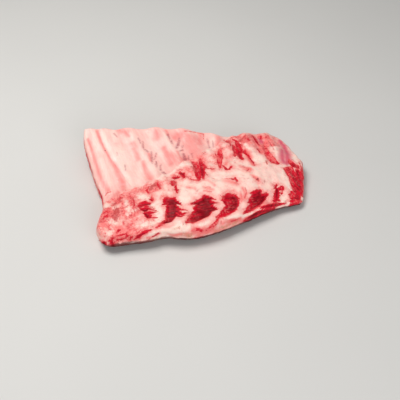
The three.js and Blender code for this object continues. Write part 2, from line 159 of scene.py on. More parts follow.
# A stroke is a line of places. Each place is three numbers: x, y and half width.
# Lean muscle on the top. Each patch: depth of its recess, darkness, feathering, turn of its fibres in degrees,
# share to which places are shortened along the fibres, strokes
LEAN_PATCHES = (
    (1.9, 0.95, 0.7, 12, 0.12, (
        (-46.5, -39.5, 2.3, -44.5, -36.5, 3.1, -41.5, -35.5, 3.1, -38, -36, 2.3),
        (-44.5, -43, 2.2, -41, -43.5, 3.4, -39.5, -42.5, 2),
        (-40.5, -48.5, 2.6, -38.5, -51, 3.1, -36, -51.5, 1.8),
        (-39.5, -42, 1.2, -34.5, -45, 0.9, -29, -46, 0.5), (-38, -48, 1.9, -34.5, -48, 1.1, -30, -46.5, 0.5),
        (-41.5, -39, 1.1, -36.5, -40.5, 0.7, -31.5, -44, 0.4),
        (-38.5, -53, 1.5, -35, -52.5, 1.2, -29.5, -53.5, 0.5), (-42.5, -33, 0.7, -40, -34, 0.7),
        (-37, -29.5, 1.7, -35.5, -31.5, 1.3),
    )),
    (2.8, 0.85, 0.6, 3, 0.12, (
        (-21, -33, 4.6, -16.5, -34, 4.5, -17, -39.5, 5.2, -16.5, -45, 5.8, -17, -49.5, 5.9, -18.5, -55, 3.9),
        (-24, -34.5, 1.7, -21, -32, 2.8), (-24.5, -38.5, 1.5, -21, -36.5, 2.9),
        (-14.5, -35, 2.9, -7.5, -39.5, 1), (-13, -42.5, 2.7, -7.5, -45, 1.2, -2, -45, 0.5),
        (-12, -46, 2.5, -6.5, -50, 1.5, -1, -47.5, 0.6), (-13, -49.5, 2.6, -7.5, -53, 1.2, -4.5, -51.5, 0.4),
        (-20, -56.5, 3, -26.5, -59.5, 0.9),
    )),
    (3, 0.95, 0.6, 14, 0.12, (
        (13.5, -32, 3.2, 15.5, -35.5, 5.3, 15.5, -41, 6.9, 13, -45, 7.9, 8, -50, 6.7, 2.5, -56, 4.4,
         -2.5, -59, 1.7),
        (1.5, -38.5, 1, 6.5, -36, 2.7, 11, -35.5, 4.6), (4.5, -43, 1.8, 9, -41.5, 4.5),
        (14.5, -31.5, 3.4, 19.5, -31.5, 2.1, 24, -33, 0.8), (19.5, -37, 2.8, 24, -36.5, 1.2, 27.5, -36, 0.5),
        (19.5, -42.5, 4.6, 25, -43.5, 1.4),
    )),
    (2.7, 0.5, 0.55, 20, 0.12, (
        (32.5, -30.5, 2.4, 37.5, -28, 4.6, 41.5, -28, 5.1, 43, -32, 4.3, 40, -38.5, 4.8, 35, -44, 4.3),
        (35, -44, 4.3, 28.5, -50.5, 2.2, 24.5, -52, 1), (33.5, -34, 2.8, 37, -39, 3, 34.5, -44, 2.8),
        (30, -33, 1.1, 35.5, -31, 2.4), (33, -35.5, 0.9, 37.5, -34, 2.7),
        (34.5, -34, 2.2, 37, -38, 2.6, 32.5, -43.5, 2.6, 28, -50, 1.3), (42.5, -26, 2.1, 47, -28, 0.9),
    )),
    (2.4, 0.68, 0.5, 40, 0.14, (
        (68, -15, 1.9, 66, -19.5, 4.7, 63, -24, 4.8, 58.5, -28, 3.1, 55, -30.5, 1.1),
        (72, -18.5, 2.6, 67.5, -24.5, 4.2, 60.5, -32, 4, 53, -40.5, 2.1, 50, -44, 0.9),
        (74.5, -16.5, 1.8, 70.5, -21.5, 2.6), (58, -20.5, 1, 62, -18, 1.7),
    )),
    (1.6, 0.95, 0.6, 58, 0.14, (
        (81, -9.5, 0.6, 83, -6, 0.9, 85.5, -3.5, 1), (84.5, -7.5, 0.8, 88.5, -5.5, 1.1, 90.5, -4, 1),
        (91.5, -5, 1.4, 91.5, -7.5, 1.3), (84, -10, 0.8, 86.5, -8, 1.3, 89.5, -7, 1.2),
        (90.5, -9, 1, 89.5, -11.5, 1.4), (82.5, -14, 1.1, 85.5, -12, 1.8, 87.5, -11, 1.4),
        (80.5, -19.5, 0.9, 83.5, -16.5, 2.1, 86.5, -14.5, 1.5),
        (81, -22.5, 1.4, 84.5, -19.5, 2.2, 86.5, -21, 1.5), (85.5, -8, 2.4, 84.5, -17, 2.6),
    )),
    (1.3, 0.55, 0.5, 118, 0.2, (
        (95.5, 17.5, 2.4, 101.5, 19.5, 4.4, 104, 12.5, 4.6, 106, 3.5, 4, 107, -5, 3.6, 106, -14.5, 3.4),
        (109, 20, 3, 109.5, 8, 3, 109, -8, 2.5), (113, 26, 1.5, 113.5, 14, 2.2, 112, 1, 2.6, 110.5, -10, 2.6),
        (97, 16.5, 3, 99.5, 11.5, 2.5), (100.5, 9, 2.4, 102.5, 2, 3.4, 104, -6, 3.6),
        (101, 33.5, 1.1, 102, 30, 2.8, 105, 26.5, 3.5, 109, 25, 2.4),
        (111.5, 31, 0.9, 113, 25, 0.9, 113, 15, 0.8),
    )),
    (1.2, 0.45, 0.7, 35, 0.2, (
        (98, -12.5, 1.9, 100.5, -17, 3, 103.5, -20.5, 2.6), (98.5, -20, 2.5, 101, -22, 1.4),
        (105, -12, 3, 106.5, -18, 2.9), (100, -10, 2.5, 103, -14, 3.7),
    )),
    (1.3, 0.1, 0.5, 118, 0.4, (
        (77.5, 56.5, 1.2, 77, 44, 2.9, 79.5, 34.5, 3.9, 83, 27, 4.4, 87.5, 24, 3),
    )),
    (0.8, 0.3, 0.5, 115, 0.5, (
        (55, 58, 1.2, 57.5, 61, 0.7), (46.5, 62.5, 0.8, 50, 60, 0.9),
    )),
    (1.8, 0.5, 0.5, 110, 0.4, (
        (47, 54.5, 1.2, 49, 47.5, 2.8, 50.5, 40.5, 3.4, 49, 33.5, 3.2, 52, 24, 1.9),
        (47, 38.5, 2.8, 45, 30, 1.8), (44.5, 45, 2.2, 45.5, 38, 3, 49, 33, 3),
        (54.5, 37.5, 2, 58, 31.5, 1.2, 60.5, 26.5, 1.1, 63, 21.5, 1.1, 64, 15.5, 0.5),
        (40.5, 55.5, 1.1, 41, 42.5, 0.9), (37.5, 54, 1.8, 35, 58, 1), (44.5, 58.5, 1.3, 48, 54, 1.3),
    )),
    (1.8, 0.12, 0.6, 100, 0.4, (
        (30, 39.5, 1.3, 30, 34.5, 3, 30, 27, 3.4, 29, 19.5, 2.8, 30, 10.5, 1.4), (26, 32.5, 0.9, 26, 28, 0.9),
    )),
    (1.8, 0.45, 0.6, 110, 0.35, (
        (9.5, 25, 1.1, 10.5, 20.5, 2.4, 12, 13, 3.1, 12, 2, 3, 13, -6.5, 1.3),
        (2, 21, 1.7, 5, 18.5, 3.2, 7.5, 10.5, 3.8, 8, -0.5, 3.5, 9, -7.5, 1.6),
        (13, 19, 1.2, 17, 10, 0.8, 23, 8.5, 0.8), (14.5, 5, 0.6, 17, -2, 0.6),
        (-5.5, 2, 0.5, -0.5, -5, 0.9, 4, -7, 1.1, 9, -9, 1),
    )),
    (1.4, 0.85, 0.7, 75, 0.5, (
        (-9.5, 5, 2.1, -7, 3, 2.3, -5.5, -2.5, 1.5), (-15.5, -0.5, 2.3, -11.5, -0.5, 2.2),
        (-17.5, -7.5, 1.5, -16.5, -13.5, 1.7), (-13.5, -15, 1.3, -12, -23.5, 1.3),
        (-15.5, -6, 0.9, -14, -10.5, 0.7),
    )),
    (1.1, 0.2, 0.7, 60, 0.5, (
        (-31.5, -8, 1.2, -30.5, -12, 1.6, -28.5, -17.5, 1), (-40.5, -12, 1.2, -41.5, -16.5, 1.5, -39, -21, 1.3),
        (-42.5, -13, 1.1, -38.5, -12, 0.9), (-36.5, -25.5, 0.6, -35, -31, 1.4),
    )),
    (0.7, 0.1, 0.5, 70, 0.6, (
        (-80, -45.5, 2.1, -77.5, -44.5, 2.5, -74, -46.5, 1.5), (-78.5, -49, 2.1, -75, -50.5, 2.4),
        (-81, -54, 1.2, -82, -57, 1.4), (-51.5, -39.5, 1, -52, -35, 0.8, -54, -27, 0.6),
        (-68.5, -32.5, 0.9, -66, -25, 1.4),
    )),
    (0.7, 0.2, 0.5, 100, 0.6, (
        (-7, 69, 0.5, 4.5, 70.5, 0.6, 13.5, 68, 0.6, 13.5, 60, 0.5), (52.5, 46.5, 0.7, 49.5, 50.5, 0.8),
        (59.5, 55.5, 1.1, 61, 53, 1.2), (80, 67.5, 0.6, 79.5, 63.5, 0.6),
    )),
    (0.5, 0.85, 0.4, 110, 0.5, (
        (-80, -58.5, 1.3, -79.5, -54.5, 1.3, -78, -49.5, 1.5),
        (65.5, 65.5, 1.1, 67.5, 58.5, 1.5, 69.5, 52.5, 1.7, 71, 49.5, 1), (68.5, 41.5, 0.9, 70.5, 36, 1.1),
        (74.5, 67, 1.1, 74, 63, 1.1), (32, 15, 0.8, 35.5, 8, 1.3, 38.5, 8, 1.3, 41, 12, 0.8),
        (39, -6.5, 0.7, 41, -7, 1.1, 44, -5, 0.9, 45.5, -8.5, 1), (55.5, 5.5, 0.5, 57.5, 7.5, 0.8),
        (36, 55, 1.5, 38, 50, 2.2, 39.5, 52.5, 1.1), (64.5, -4, 0.6, 66.5, -5, 0.6),
        (-66, -21, 0.6, -60, -22.5, 0.5, -54, -30.5, 0.5, -51.5, -38.5, 0.7), (-52, -43, 0.6, -50, -49.5, 0.5),
        (-84, -19, 0.5, -81, -12, 0.6, -77, -11, 0.5),
    )),
)

# Strokes on the near wall have x, climb and half width, where the climb is the height above the floor plus the
# distance in from the outline. Lean strips
WALL_STRIPS = (
    (-49.5, 13.5, 1, -46, 16.5, 2.1, -41.5, 20, 2.3, -38, 22, 1.9, -34.5, 23, 1),
    (-37, 13, 0.7, -32.5, 14, 1, -27.5, 16.5, 1), (-22, 26.5, 1.1, -30, 24, 1.2),
    (26, 25, 1.4, 23.5, 21, 2.8, 20, 18, 2.8, 15.5, 15.5, 1.5),
    (3.5, 19, 1.5, 6.5, 19, 2.6, 11, 17.5, 2, 11.5, 15, 0.9), (38.5, 16.5, 1.1, 42.5, 15.5, 1.1, 46.5, 15, 0.6),
    (29, 21.5, 0.5, 29, 18, 0.5), (4.5, 7.5, 1.2, 8, 9.5, 1.4, 13, 6.5, 0.7),
    (91.5, 11.5, 1.6, 83, 13.5, 3.3, 75, 16, 3.4, 68, 18.5, 1.8),
    (80.5, 9, 2.4, 72, 10.5, 3.2, 64, 12.5, 3.5, 57, 11.5, 2.6, 51.5, 10, 1.4),
    (69, 7.5, 1, 61, 8, 2, 54.5, 8, 1.3), (97.5, 8, 2, 103.5, 7, 2.7, 107.5, 9.5, 2.9),
    (-56.5, 19.5, 1, -52, 17.5, 1.2, -53.5, 13, 0.9), (-51.5, 15.5, 0.5, -51, 18.5, 0.6),
    (-65, 24.5, 0.9, -63.5, 26, 1.7, -62.5, 26.5, 1),
    (-63, 20.5, 1.1, -60, 21, 1.4, -57.5, 21.5, 1.1, -55, 22.5, 0.7),
    (-64.5, 15.5, 1.4, -63, 15, 1.9, -60, 15.5, 1.2, -56.5, 17, 0.9),
    (-71, 15.5, 1, -69, 17, 1.3, -66.5, 20, 0.7), (-71.5, 15.5, 1.1, -69, 11.5, 2.1, -68.5, 9, 1.6),
    (-79.5, 8.5, 1.2, -76.5, 10.5, 2.6),
)

# How dark the strips are, at evenly spaced sections, and how dark and feathered the walls' other lean is
STRIP_DARKNESS = (1, 1, 0.8, 0.3, 0.1, 0.3, 0.9, 0.7, 0.4)
WALL_DARKNESS = 0.12
WALL_FEATHER = 0.35

# How far in from the outline the walls and the near front reach, how high the walls' lumps are, and how fast a
# patch of lean narrows as it turns down a wall
WALL_REACH = 8
WALL_FADE = 5
FRONT_REACH = 14
FRONT_FADE = 3
WALL_LUMPS = 0.5
RIM_RUN = 0.75

# How far below the top the walls start, in millimetres
WALL_DROP = (0.4, 2.4)

# Thin lines: vessels and dark creases on the top
VEINS = (
    ((15.5, -19.5), (19.5, -20)), ((14.5, -25), (20.5, -25)), ((53, -15.5), (54.5, -19.5), (52, -27)),
    ((54, 37), (59.5, 25.5)), ((-61, -58), (-59, -62.5), (-54, -64)), ((-74, -64), (-71.5, -66)),
    ((81.5, 59), (84, 53.5), (86, 43.5)), ((-61, -21.5), (-55, -26.5), (-52, -33), (-52, -40), (-53, -49)),
    ((-81, -25.5), (-80.5, -17), (-77, -14)),
    ((-95, 58), (-92.5, 52), (-88.5, 41.5), (-84.5, 34.5), (-75, 20.5), (-64.5, 4.5), (-58, -6)),
    ((32.5, 11), (38, 7), (42, 12.5)), ((22.5, -6), (28.5, -7.5), (33, -6), (40.5, -6.5), (45, -7)),
    ((-111, 52), (-101, 24.5), (-93.5, 6), (-85.5, -18)),
)
CREASES = (
    ((22.5, -6), (28.5, -7.5), (33, -6), (40.5, -6.5), (45, -7), (46.5, -11)),
    ((41.5, 10), (47.5, 9.5), (53, 6.5), (56.5, 6.5)), ((82, 60), (84.5, 52), (87, 42)),
    ((13, -17.5), (16.5, -22)), ((64.5, -2.5), (67.5, -3.5)),
)

# Small dark spots where creases meet: x, y, half width
SPOTS = ((40.5, -6.5, 1.2), (45, -8, 1.8), (56.5, 6.5, 1.2), (66, -3, 1.4), (37.5, 50.5, 1.4), (-88, 41, 1))

# Slits in the membrane where the muscle under it shows
SLITS = (
    (-55, 58, 0.9, -52, 51.5, 1.1), (-50, 54, 1.2, -49, 45, 1.2), (-47.5, 43.5, 1.3, -44, 41, 1.6),
    (-40.5, 41.5, 1.2, -39.5, 33.5, 1.3, -39, 25, 0.9), (-35.5, 40, 0.9, -36, 35, 1.1, -37.5, 31, 1),
    (-35, 28, 1.4, -34, 20.5, 1.2), (-30.5, 24, 1.4, -30, 17, 1.3), (-27, 13.5, 1.6, -25, 12, 1.4),
    (-24, 64, 1.4, -22, 58, 1.2), (-20.5, 56, 1.8, -19.5, 52.5, 1.4),
    (-12, 61.5, 1.1, -12.5, 54.5, 1.9, -14.5, 47, 1.8), (-8.5, 50.5, 1.2, -8.5, 47.5, 0.8),
    (-8.5, 44.5, 1.5, -10.5, 43, 1.1), (-7, 39, 1.6, -5.5, 31.5, 2.5, -5.5, 18, 1.2),
    (-2, 36.5, 1, -1.5, 25, 1), (1, 39, 0.7, 2.5, 33, 0.7), (-75.5, 37.5, 0.6, -75, 34.5, 0.6),
    (-66, 23, 0.6, -65, 14.5, 0.6), (-80.5, 63, 0.9, -77, 59.5, 0.7), (17.5, 60.5, 0.8, 19.5, 47, 1.1),
    (23, 57, 0.8, 23.5, 48.5, 0.8),
)

# Pink places on the top
PINKS = (
    (14, -21, 1.8, 21.5, -22.5, 1.9), (50.5, -16, 1.7, 53, -21.5, 2, 50.5, -29, 1.9),
    (61, -0.5, 2, 66.5, -3.5, 1.6), (49.5, 13, 2, 59.5, 8.5, 2), (34, -10, 2.6, 44.5, -12.5, 2.4),
    (17.5, -10.5, 1.6, 23.5, -17.5, 1.6), (60, 57, 4, 71.5, 63.5, 4, 79.5, 59, 5, 91.5, 60.5, 5),
    (66, 50.5, 4, 73.5, 49.5, 4, 72.5, 35.5, 2.1), (49.5, 51.5, 2.5, 59, 52, 4, 61.5, 44.5, 3.1),
    (57, 37, 2.2, 61.5, 27, 1.7), (-78.5, -58.5, 2.3, -73.5, -63, 2.7, -74.5, -69.5, 2.8),
    (-61, -37.5, 2.7, -54.5, -49, 2.7, -50, -58, 2.7), (-70, -63, 3.6, -60.5, -65, 3.2, -53.5, -63, 2.8),
    (-73.5, -21, 4, -70, -12.5, 3), (-54.5, -16, 2.5, -46, -16.5, 3.5), (-56.5, -28.5, 2.1, -58, -41, 2.1),
    (-4, 11.5, 1.6, 2, 2.5, 1.6), (-4.5, 63.5, 3.5, -0.5, 61.5, 4),
    (-75.5, 67.5, 2.2, -68, 63.5, 3, -64.5, 60, 1.5),
    (-98.5, 65, 1.8, -93, 50.5, 1.2, -88, 42, 1.1, -76, 20.5, 2, -67, 0.5, 3.2, -65.5, -9, 2.6),
    (-107.5, 56, 1, -103, 45, 1.1, -92.5, 15.5, 2, -87, 1.5, 2.2, -80, -9.5, 2),
    (-59.5, 51, 2.4, -56, 41, 3, -53.5, 31.5, 2.6), (-37, 66.5, 3, -35, 60, 3.8),
    (-48, 26.5, 1.8, -45.5, 15.5, 2.2, -39.5, 4.5, 3), (-26, 69, 2, -24, 64, 1.8),
    (-27.5, 46, 2, -23, 34, 3.6, -19.5, 25, 3.4),
    (-6.5, 65.5, 3, -2.5, 61, 5, 2.5, 51, 5.5, 6, 40, 5, 9, 27, 2.5), (10, 66.5, 3, 8.5, 51.5, 4),
    (-13.5, 40.5, 1.8, -10.5, 31.5, 1.8), (-42.5, 38, 1.5, -40.5, 28, 1.5), (29, 60, 3, 29.5, 46.5, 3),
    (86, 58, 2.5, 89.5, 40.5, 2), (38.5, 26.5, 3, 36, 16, 2), (48.5, -20.5, 1.2, 49.5, -30, 1.4),
    (59, 0, 1.2, 66, -3.5, 1.5), (13, -17.5, 0.8, 16, -21, 0.8), (13.5, -24.5, 0.9, 16.5, -24, 0.7),
    (-2.5, -17, 1.6, 5, -20.5, 1.6), (-76.5, -62, 2.4, -69, -64, 3), (-52.5, -62, 2, -49.5, -67, 2),
    (-62.5, -42, 2, -59, -52, 2.5), (-69, -28, 2.5, -66, -25, 2), (-34, -18, 3, -32.5, -12.5, 2.5),
    (-71.5, -44.5, 3, -66.5, -50.5, 4, -64.5, -42, 3, -60, -30, 2.5), (-28, -60.5, 1.5, -23.5, -60.5, 1.5),
    (79, -28.5, 5, 69, -35, 4), (57.5, 28.5, 2, 63, 16.5, 2), (-20, 34, 6, -10, 28, 6, 2, 36, 8, 2, 58, 8),
    (-16, 62, 5, -8, 66, 5),
)

# Cream places on the top: paler fat, plus painted highlights along the rib crests of the flap and on some ridges
CREAMS_AND_HIGHLIGHTS = (
    (55.5, 47, 1.3, 59, 40, 1.7), (76.5, 59.5, 1.2, 77, 53, 1), (68.5, 63.5, 1.7, 71.5, 60.5, 1.5),
    (88, 47.5, 1.9, 89, 37.5, 1.8), (95.5, 24.5, 1.2, 102, 25.5, 1), (101, 38.5, 0.9, 106, 35, 1.3, 109, 31, 1),
    (47.5, 54, 1, 51.5, 49.5, 0.8), (-102, 62.5, 2, -98, 52.5, 2.2, -94, 41, 1.8),
    (-94, 63.5, 1.8, -89, 53, 2.2, -81.5, 38, 2.8, -73, 23.5, 2.5, -64, 9.5, 2.5, -56.5, -4.5, 1.8),
    (-75, 45, 4, -70, 32, 5, -64.5, 18.5, 4), (-50.5, 15, 4, -49.5, 1.5, 4),
    (-63.5, 62.5, 1.8, -56.5, 46, 2.4, -47, 31, 2.8, -38.5, 18, 2.8, -29, -3.5, 2),
    (-28.5, 65, 1.2, -23.5, 52, 2, -16.5, 38, 2.8, -11.5, 26.5, 2.4), (-112, 66, 2.2, -109, 58, 2),
    (-43.5, 57.5, 2, -36.5, 45, 3, -28, 30, 2.5), (-90.5, 27, 2.5, -84, 11.5, 2, -79, -2, 2),
    (-82.5, 63.5, 2, -78.5, 54, 2.5), (17, 36, 1.5, 23.5, 57, 2.5), (-3.5, 43.5, 2, 0, 32, 1.5),
    (-41.5, -62, 2.5, -35.5, -61, 3), (-30, -43.5, 2, -28.5, -52, 2.2), (-11.5, -64.5, 1.4, -2.5, -63, 1.8),
    (88.5, -24, 2.2, 92, -15, 2), (93.5, 14, 1.5, 96.5, 3, 1.8, 97.5, -4, 1.5), (88.5, 19, 1, 98.5, 22.5, 0.9),
    (-82, -31.5, 2.5, -76.5, -36.5, 2), (-74, -55.5, 2, -67.5, -58.5, 2.5),
    (-59, -32, 2, -56.5, -43.5, 2.5, -55.5, -50, 2.5, -48.5, -43, 2), (-73.5, -70.5, 3, -70.5, -67, 3),
    (-35, -38.5, 2.5, -30, -37, 3, -28, -49, 2.8, -28.5, -55, 2.5), (-46, -26.5, 2.9, -40, -28, 3.2),
    (-7, -21.5, 3, -5, -33, 4), (-3.5, -65, 3, -10, -63, 2), (72.5, 25, 3, 66.5, 25.5, 3),
)

# Granular, half dried meat
GRANULES = (
    (-70, -33.5, 2.4, -68, -44.5, 3.9, -66.5, -53.5, 3.3), (-71.5, -21, 3, -67, -24, 3, -64.5, -31, 1.8),
    (-79.5, -54.5, 1.5, -80.5, -59, 1.5), (-16.5, -4, 3, -15, -12.5, 3.4, -13, -20.5, 2.2),
    (-8.5, 3.5, 2.4, -5.5, -2.5, 1.3), (3, 17, 3.1, 7, 4.5, 3), (13, 18, 2, 13, 4, 2),
    (51.5, 53, 2.5, 54, 56, 2), (76, 24, 1.4, 77, 18, 1), (30.5, 38, 2, 29.5, 32, 2),
    (-38, -15.5, 3, -35.5, -10.5, 3, -33, -13, 2.5),
)

# Pink, cream and brown places on the near wall
WALL_PINKS = (
    (13.5, 15, 2.7, 23, 14, 3.3, 32, 13, 3.4, 41.5, 13, 2.9, 49.5, 12.5, 2.2),
    (-2, 14.5, 2.7, 6.5, 15.5, 2.6, 13.5, 16, 2.1), (21, 10.5, 2.3, 30.5, 10, 3.2),
    (50.5, 12, 2.3, 57, 12.5, 1.9), (-44.5, 13, 1.3, -38, 14, 1.3), (-44.5, 9.5, 1.6, -35.5, 10.5, 1.2),
    (6.5, 14, 2.6, 12.5, 12.5, 2.3, 21, 14, 2), (38, 16.5, 1.9, 45.5, 14.5, 1.7),
    (-19, 15.5, 2, -13.5, 13.5, 1.8, -7, 16, 1.5), (14.5, 12, 1.8, 22, 12.5, 2, 28.5, 10.5, 1.4),
    (-26, 22.5, 1.2, -19, 24, 1.1, -10, 28, 1.1), (48.5, 10, 2.7, 54.5, 10, 2.6, 59, 12, 2),
    (97, 6, 1, 101, 5, 1), (32, 18.5, 2.2, 39.5, 18, 1.7), (5.5, 14.5, 2.7, 13.5, 17.5, 2.1),
)
WALL_CREAMS = (
    (-51, 9, 1.6, -40, 10.5, 1.7, -28.5, 11.5, 2), (-23.5, 17, 2.1, -15.5, 18.5, 2.2, -6, 20.5, 2.2),
    (-26.5, 12, 1.2, -19, 12.5, 1.2), (18, 18.5, 1.3, 28.5, 17, 1.6), (50, 16.5, 1.6, 60, 15, 1.4),
    (-44.5, 12, 1.5, -35, 16.5, 2, -26, 19.5, 2), (-55, 9.5, 1.4, -46, 9.5, 1.4),
    (-7, 21, 2.7, -2.5, 24.5, 2.7), (-22.5, 18.5, 1.2, -15.5, 19.5, 1.7, -4.5, 21, 1.7),
    (-73.5, 11.5, 1, -72, 12.5, 0.8), (88, 10.5, 2.5, 94.5, 10, 2.2), (63, 18, 1.2, 69, 15.5, 1.1),
    (33, 23.5, 1.2, 42.5, 21, 1.3, 51, 17.5, 1.1), (10, 23.5, 1.2, 18, 25.5, 1.2),
)
WALL_TANS = (
    (30, 14, 2.3, 38, 12, 3, 44.5, 11, 2.3), (-2.5, 14.5, 3.6, 2, 11, 3),
    (25.5, 12, 2.9, 32, 12, 3.8, 39.5, 12, 2.9), (-53, 19, 1.3, -52, 15, 1.1), (-16, 20, 0.7, -9, 24.5, 0.7),
    (-34, 9, 1.6, -26.5, 10, 1.3),
)

# Bluish skin
VEILS = (
    (94.5, 65.5, 1.6, 98.5, 55, 2.8, 100.5, 42, 4.2, 99.5, 32.5, 4.1, 97.5, 25.5, 2),
    (95, 45.5, 2.5, 94, 34, 4.3, 95, 26.5, 3), (72.5, 63.5, 1.5, 74.5, 57, 2.6),
)

# Level on the near wall up to which painted shade darkens its foot, at evenly spaced sections
FOOT_SHADE_LEVELS = (0.54, 0.64, 0.53, 0.46, 0.44, 0.5, 0.57, 0.55, 0.6)
FOOT_SHADE_FADE = 0.2

# Fine relief
FIBRE_RELIEF = 0.28
CRUMB_RELIEF = 0.55
FOLD_RELIEF = 0.3
PIMPLE_RELIEF = 0.12
CREASE_DEPTH = 0.9
CREASE_WIDTH = 0.9
SLIT_DEPTH = 0.12
LIP_RELIEF = 0.5

# Where fat is crumbly, in millimetres, and how strongly
LEFT_CRUMBS = (38, 66)
FAR_CRUMBS_X = (25, 40)
FAR_CRUMBS_Y = (30, 44)
FAR_CRUMBS = 0.6
ARC_CRUMBS = 0.45

# Share to which places are shortened along the walls and the ribs
GRAIN_RUN = 0.14

# How much darker the lean of a patch gets for each millimetre to the right
DARKER_TO_RIGHT = 0.035

# Mesh fineness
STEPS_ALONG = 300
STEPS_ACROSS = 200
COARSE = 2
NOISE_CELLS = 32
SLAB_MIDDLE = (1.5, 0)

# Stage, in metres
AIM = (0.0081, -0.0074, 0)
KEY_PLACE = (-0.36, 0.14, 0.93)
KEY_SIZE = 0.6
KEY_TINT = (1, 0.985, 0.96)
FILL_PLACE = (0.5, -0.96, 0.36)
FILL_SIZE = 0.9
FILL_TINT = (0.97, 0.98, 1)
FLOOR_RADIUS = 6


def srgb(red, green, blue):
    """Linear colour of the 0 to 255 screen colour."""
    shares = (value / 255 for value in (red, green, blue))
    return tuple(s / 12.92 if s <= 0.04045 else ((s + 0.055) / 1.055) ** 2.4 for s in shares)


def colour(name, description, *levels):
    """A colour property. Its default is given in screen levels from 0 to 255."""
    return bpy.props.FloatVectorProperty(
        name=name, description=description, default=srgb(*levels), subtype="COLOR", size=3, min=0, max=1)


class SlabLooks(bpy.types.PropertyGroup):
    """Colours and finish of the slab."""

    membrane: colour("Membrane", "Thin skin where it lies on a rib", 253, 220, 209)
    pink_membrane: colour("Pink membrane", "Thin skin over the meat between ribs", 242, 137, 133)
    fat: colour("Fat", "Cream fat of the thick side", 253, 218, 205)
    pink_fat: colour("Pink fat", "Fat stained by the lean beside it", 246, 128, 124)
    lean: colour("Lean", "Bright lean meat", 216, 20, 46)
    dark_lean: colour("Dark lean", "Lean meat deep between the ribs", 126, 3, 18)
    granules: colour("Granules", "Half dried, granular meat", 200, 78, 76)
    slit: colour("Slits", "Muscle that shows through slits in the membrane", 182, 92, 100)
    veil: colour("Veil", "Bluish skin at the right end", 220, 80, 108)
    tan: colour("Tan", "Drier, browner fat low on the front", 204, 146, 116)
    # Painted shade: a dark, streaked band along the foot of the near wall that stands in for the contact shadow
    # under the slab
    painted_shade: colour("Painted shade", "Dark juice along the foot of the front", 72, 4, 8)
    bone: colour("Bone", "Sawn rib bone", 240, 220, 198)
    marrow: colour("Marrow", "Inside of the sawn bones", 176, 74, 70)
    roughness: bpy.props.FloatProperty(
        name="Roughness", description="How matt the surface is", default=0.44, min=0, max=1)
    wetness: bpy.props.FloatProperty(
        name="Wetness", description="Strength of the wet film", default=0.35, min=0, max=1)
    grain_height: bpy.props.FloatProperty(
        name="Grain height", description="Height of the finest grain", default=0.0006, min=0, unit="LENGTH")


class StageLooks(bpy.types.PropertyGroup):
    """Floor, light and camera."""

    floor: colour("Floor", "Colour of the floor", 212, 211, 208)
    key_power: bpy.props.FloatProperty(
        name="Key light", description="Power of the main light", default=8.0, min=0, unit="POWER")
    fill_power: bpy.props.FloatProperty(
        name="Fill light", description="Power of the fill light", default=6.6, min=0, unit="POWER")
    surround: bpy.props.FloatProperty(
        name="Surround", description="Strength of the light from all round", default=0.25, min=0)
    camera_distance: bpy.props.FloatProperty(
        name="Camera distance", description="From the aim point to the camera", default=0.5757, min=0.1,
        unit="LENGTH")
    camera_elevation: bpy.props.FloatProperty(
        name="Camera elevation", description="Angle above the floor", default=math.radians(44.4),
        subtype="ANGLE")
    lens: bpy.props.FloatProperty(
        name="Lens", description="Focal length in millimetres", default=51.93, min=10)


def smooth(value, low, high):
    """Runs from 0 to 1 between low and high."""
    t = np.clip((value - low) / (high - low), 0, 1)
    return t * t * (3 - 2 * t)


def bell(distance, width):
    return np.exp(-((distance / width) ** 2))


def mix(start, end, share):
    return start + (end - start) * share


def spline(a, b, c, d, t):
    """A smooth run from b to c while t goes from 0 to 1. The point before is a, and the one after is d."""
    bend = (2 * a - 5 * b + 4 * c - d) * t * t + (3 * b - a - 3 * c + d) * t**3
    return 0.5 * (2 * b + (c - a) * t + bend)


def section(share, values):
    """Reads a table of evenly spaced sections as a smooth curve."""
    table = np.array(values, float)
    last = len(table) - 1
    place = np.clip(share, 0, 1) * last
    i = np.minimum(place.astype(int), last - 1)
    padded = np.concatenate(([2 * table[0] - table[1]], table, [2 * table[-1] - table[-2]]))
    return spline(*(padded[i + k] for k in range(4)), place - i)


def edge_curve(points):
    """Evenly spaced points of a smooth curve through the given ones."""
    p = np.array(points, float)
    padded = np.vstack((2 * p[0] - p[1], p, 2 * p[-1] - p[-2]))
    t = np.linspace(0, 1, SPAN_STEPS, endpoint=False)[:, None]
    spans = [spline(*four, t) for four in zip(padded, padded[1:], padded[2:], padded[3:])]
    line = np.vstack((*spans, p[-1:]))
    run = np.concatenate(([0], np.cumsum(np.linalg.norm(np.diff(line, axis=0), axis=1))))
    even = np.linspace(0, run[-1], EDGE_STEPS + 1)
    return np.column_stack((np.interp(even, run, line[:, 0]), np.interp(even, run, line[:, 1])))


EDGES = {name: edge_curve(points) for name, points in
         {"near": NEAR_EDGE, "far": FAR_EDGE, "left": LEFT_EDGE, "right": RIGHT_EDGE}.items()}
CORNERS = (
    (0, 0, NEAR_EDGE[0], (1, 1)),
    (1, 0, RIGHT_EDGE[0], (-1, 1)),
    (0, 1, FAR_EDGE[0], (1, -1)),
    (1, 1, FAR_EDGE[-1], (-1, -1)),
)


def edge_point(name, share):
    curve = EDGES[name]
    place = np.clip(share, 0, 1) * EDGE_STEPS
    i = np.minimum(place.astype(int), EDGE_STEPS - 1)
    t = (place - i)[:, None]
    return curve[i] * (1 - t) + curve[i + 1] * t


def plan(along, across):
    """Place in plan for a share of the length and a share of the depth."""
    near, far = edge_point("near", along), edge_point("far", along)
    left, right = edge_point("left", across), edge_point("right", across)
    place = mix(near, far, across[:, None]) + mix(left, right, along[:, None])
    for (corner_along, corner_across, point, inward_way), reach in zip(CORNERS, CORNER_REACH):
        weight = (1 - abs(along - corner_along)) * (1 - abs(across - corner_across))
        gap = np.hypot((along - corner_along) * PLAN_LENGTH, (across - corner_across) * PLAN_DEPTH)
        pull = CORNER_PULL * reach * np.exp(-gap / reach)
        place += pull[:, None] * np.array(inward_way) - weight[:, None] * np.array(point)
    return place[:, 0], place[:, 1]


